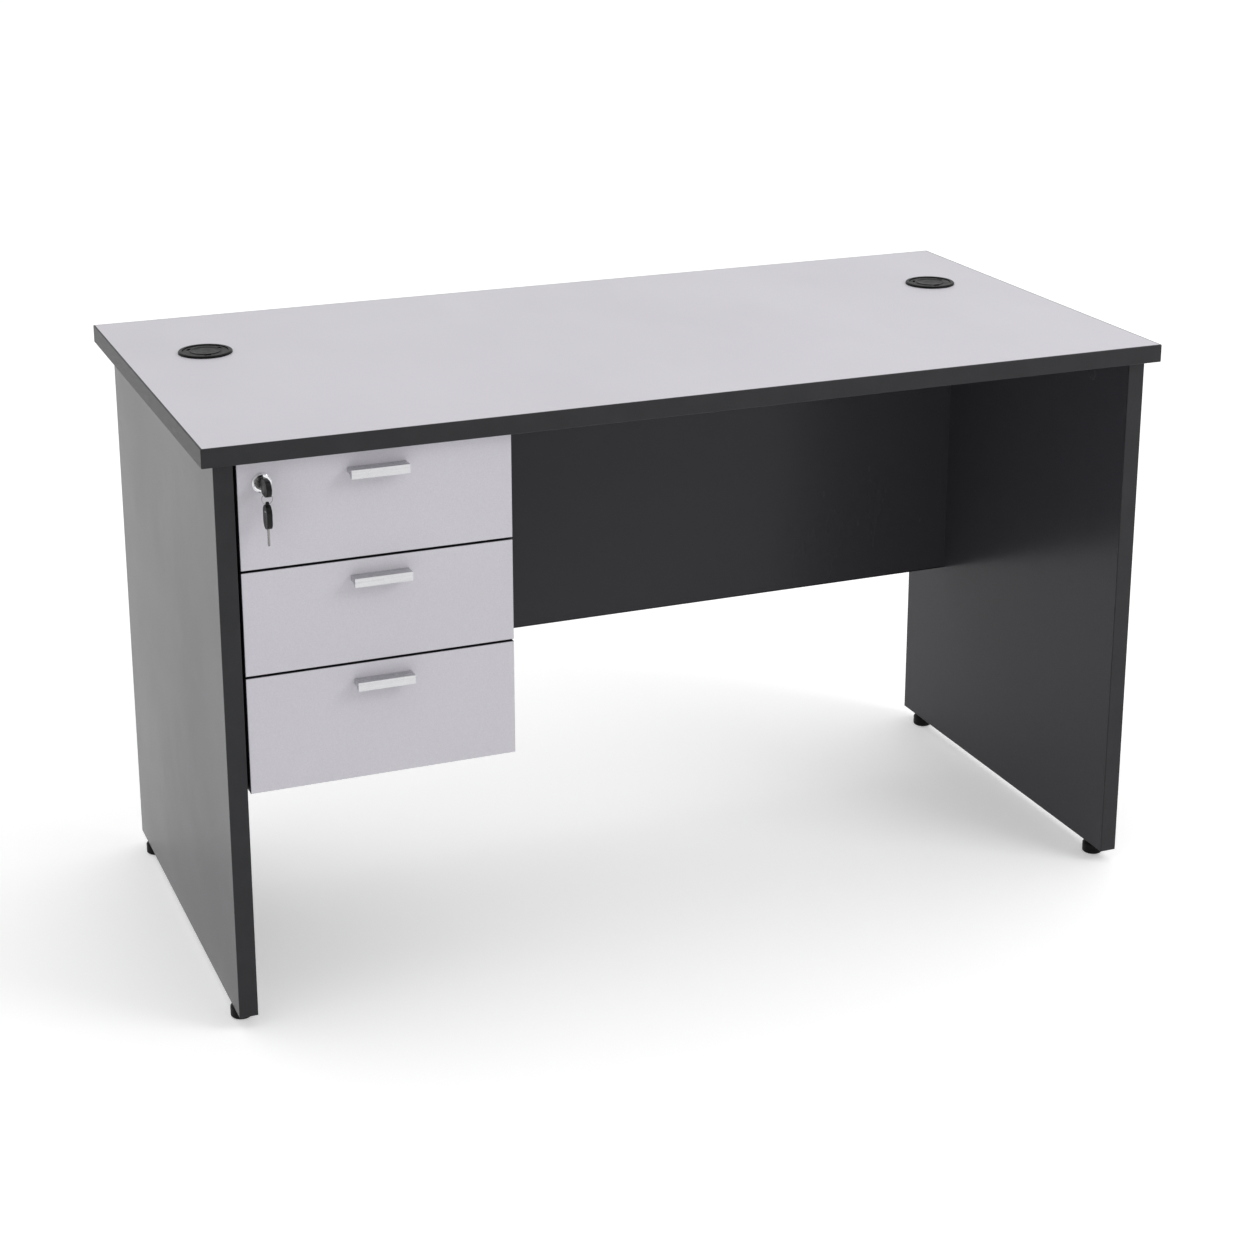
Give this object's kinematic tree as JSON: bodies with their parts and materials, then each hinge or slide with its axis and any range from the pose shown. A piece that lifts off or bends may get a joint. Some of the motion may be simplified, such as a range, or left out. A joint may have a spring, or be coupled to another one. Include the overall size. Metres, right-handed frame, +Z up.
{
  "type": "writing desk with drawers",
  "caption": "Straight writing desk with panel legs, a modesty panel, a hanging lockable drawer pedestal on the left, lip pull handles, cable grommets and levelling feet.",
  "frame": {"origin": "on the floor below the middle of the whole outline, with the key in the lock; the desk top's middle is 9 mm behind it", "axes": "+X to the user's right along the desk's width, +Y from the user towards the back, +Z up"},
  "size_m": [1.2, 0.6185, 0.703],
  "materials": {
    "light_laminate": "fine matt melamine laminate, pale grey",
    "dark_laminate": "fine textured melamine laminate, charcoal",
    "dark_edge_band": "satin plastic edge band, charcoal",
    "beech": "bare turned beech",
    "zinc_steel": "bright zinc plating",
    "black_plastic": "moulded black plastic, satin",
    "runner_steel": "zinc plated rolled steel, light grease",
    "drawer_board": "off-white melamine",
    "drawer_hardboard": "off-white painted hardboard",
    "brushed_aluminium": "brushed and anodised, satin",
    "chrome": "polished chrome plating",
    "nickel": "bright nickel plating",
    "key_plastic": "moulded black plastic, fine grain"
  },
  "bodies": {
    "desk": {"desk_top_board": "light_laminate", "desk_top_edging": "dark_edge_band", "left_side_panel": "dark_laminate", "right_side_panel": "dark_laminate", "side_panel_edging": "dark_edge_band", "modesty_panel": "dark_laminate", "modesty_edging": "dark_edge_band", "wood_dowels": "beech", "cam_bolts": "zinc_steel", "cam_locks": "zinc_steel", "foot_inserts": "zinc_steel", "grommet_liner_left": "black_plastic", "grommet_liner_right": "black_plastic", "pedestal_left_side": "dark_laminate", "pedestal_right_side": "dark_laminate", "pedestal_top": "dark_laminate", "pedestal_bottom": "dark_laminate", "pedestal_back": "dark_laminate", "pedestal_screws": "zinc_steel", "runner_outer_members": "runner_steel", "runner_screws": "zinc_steel"},
    "drawer_1": {"drawer_1_front": "light_laminate", "drawer_1_sides": "drawer_board", "drawer_1_back": "drawer_board", "drawer_1_bottom": "drawer_hardboard", "drawer_1_handle": "brushed_aluminium", "drawer_1_handle_screws": "zinc_steel", "drawer_1_runner_inners": "runner_steel", "lock_housing": "chrome", "lock_nut": "zinc_steel"},
    "drawer_1_slides": {"drawer_1_runner_middles": "runner_steel"},
    "drawer_2": {"drawer_2_front": "light_laminate", "drawer_2_sides": "drawer_board", "drawer_2_back": "drawer_board", "drawer_2_bottom": "drawer_hardboard", "drawer_2_handle": "brushed_aluminium", "drawer_2_handle_screws": "zinc_steel", "drawer_2_runner_inners": "runner_steel"},
    "drawer_2_slides": {"drawer_2_runner_middles": "runner_steel"},
    "drawer_3": {"drawer_3_front": "light_laminate", "drawer_3_sides": "drawer_board", "drawer_3_back": "drawer_board", "drawer_3_bottom": "drawer_hardboard", "drawer_3_handle": "brushed_aluminium", "drawer_3_handle_screws": "zinc_steel", "drawer_3_runner_inners": "runner_steel"},
    "drawer_3_slides": {"drawer_3_runner_middles": "runner_steel"},
    "drawer_lock": {"lock_plug": "nickel", "lock_cam": "zinc_steel", "key_bow": "key_plastic", "key_blade": "nickel"},
    "key_ring": {"key_ring": "nickel"},
    "spare_key": {"spare_key_bow": "key_plastic", "spare_key_blade": "nickel"},
    "grommet_cap_left": {"grommet_cap_left": "black_plastic"},
    "grommet_cap_right": {"grommet_cap_right": "black_plastic"},
    "foot_front_left": {"foot_front_left": "black_plastic"},
    "foot_front_right": {"foot_front_right": "black_plastic"},
    "foot_back_left": {"foot_back_left": "black_plastic"},
    "foot_back_right": {"foot_back_right": "black_plastic"}
  },
  "joints": [
    {"name": "drawer_1_slide", "type": "slide", "parent": "desk", "child": "drawer_1", "axis": [0, -1, 0], "range_m": [0, 0.25]},
    {"name": "drawer_1_slides_run", "type": "slide", "parent": "desk", "child": "drawer_1_slides", "axis": [0, -1, 0], "range_m": [0, 0.125]},
    {"name": "drawer_2_slide", "type": "slide", "parent": "desk", "child": "drawer_2", "axis": [0, -1, 0], "range_m": [0, 0.25]},
    {"name": "drawer_2_slides_run", "type": "slide", "parent": "desk", "child": "drawer_2_slides", "axis": [0, -1, 0], "range_m": [0, 0.125]},
    {"name": "drawer_3_slide", "type": "slide", "parent": "desk", "child": "drawer_3", "axis": [0, -1, 0], "range_m": [0, 0.25]},
    {"name": "drawer_3_slides_run", "type": "slide", "parent": "desk", "child": "drawer_3_slides", "axis": [0, -1, 0], "range_m": [0, 0.125]},
    {"name": "lock_turn", "type": "hinge", "parent": "drawer_1", "child": "drawer_lock", "pos_m": [-0.532, -0.276, 0.651], "axis": [0, 1, 0], "range_deg": [0, 90]},
    {"name": "key_ring_swing", "type": "hinge", "parent": "drawer_lock", "child": "key_ring", "pos_m": [-0.532, -0.298, 0.6446], "axis": [1, 0, 0], "range_deg": [-45, 5]},
    {"name": "spare_key_swing", "type": "hinge", "parent": "key_ring", "child": "spare_key", "pos_m": [-0.532, -0.298, 0.639], "axis": [0, 1, 0], "range_deg": [-75, 20]},
    {"name": "grommet_cap_left_lift", "type": "slide", "parent": "desk", "child": "grommet_cap_left", "axis": [0, 0, 1], "range_m": [0, 0.03]},
    {"name": "grommet_cap_right_lift", "type": "slide", "parent": "desk", "child": "grommet_cap_right", "axis": [0, 0, 1], "range_m": [0, 0.03]},
    {"name": "foot_front_left_turn", "type": "hinge", "parent": "desk", "child": "foot_front_left", "pos_m": [-0.574, -0.241, 0.016], "axis": [0, 0, 1], "continuous": true},
    {"name": "foot_front_right_turn", "type": "hinge", "parent": "desk", "child": "foot_front_right", "pos_m": [0.574, -0.241, 0.016], "axis": [0, 0, 1], "continuous": true},
    {"name": "foot_back_left_turn", "type": "hinge", "parent": "desk", "child": "foot_back_left", "pos_m": [-0.574, 0.225, 0.016], "axis": [0, 0, 1], "continuous": true},
    {"name": "foot_back_right_turn", "type": "hinge", "parent": "desk", "child": "foot_back_right", "pos_m": [0.574, 0.225, 0.016], "axis": [0, 0, 1], "continuous": true}
  ],
  "couplings": [
    {"joint": "drawer_1_slides_run", "follows": "drawer_1_slide", "ratio": 0.5},
    {"joint": "drawer_2_slides_run", "follows": "drawer_2_slide", "ratio": 0.5},
    {"joint": "drawer_3_slides_run", "follows": "drawer_3_slide", "ratio": 0.5}
  ]
}
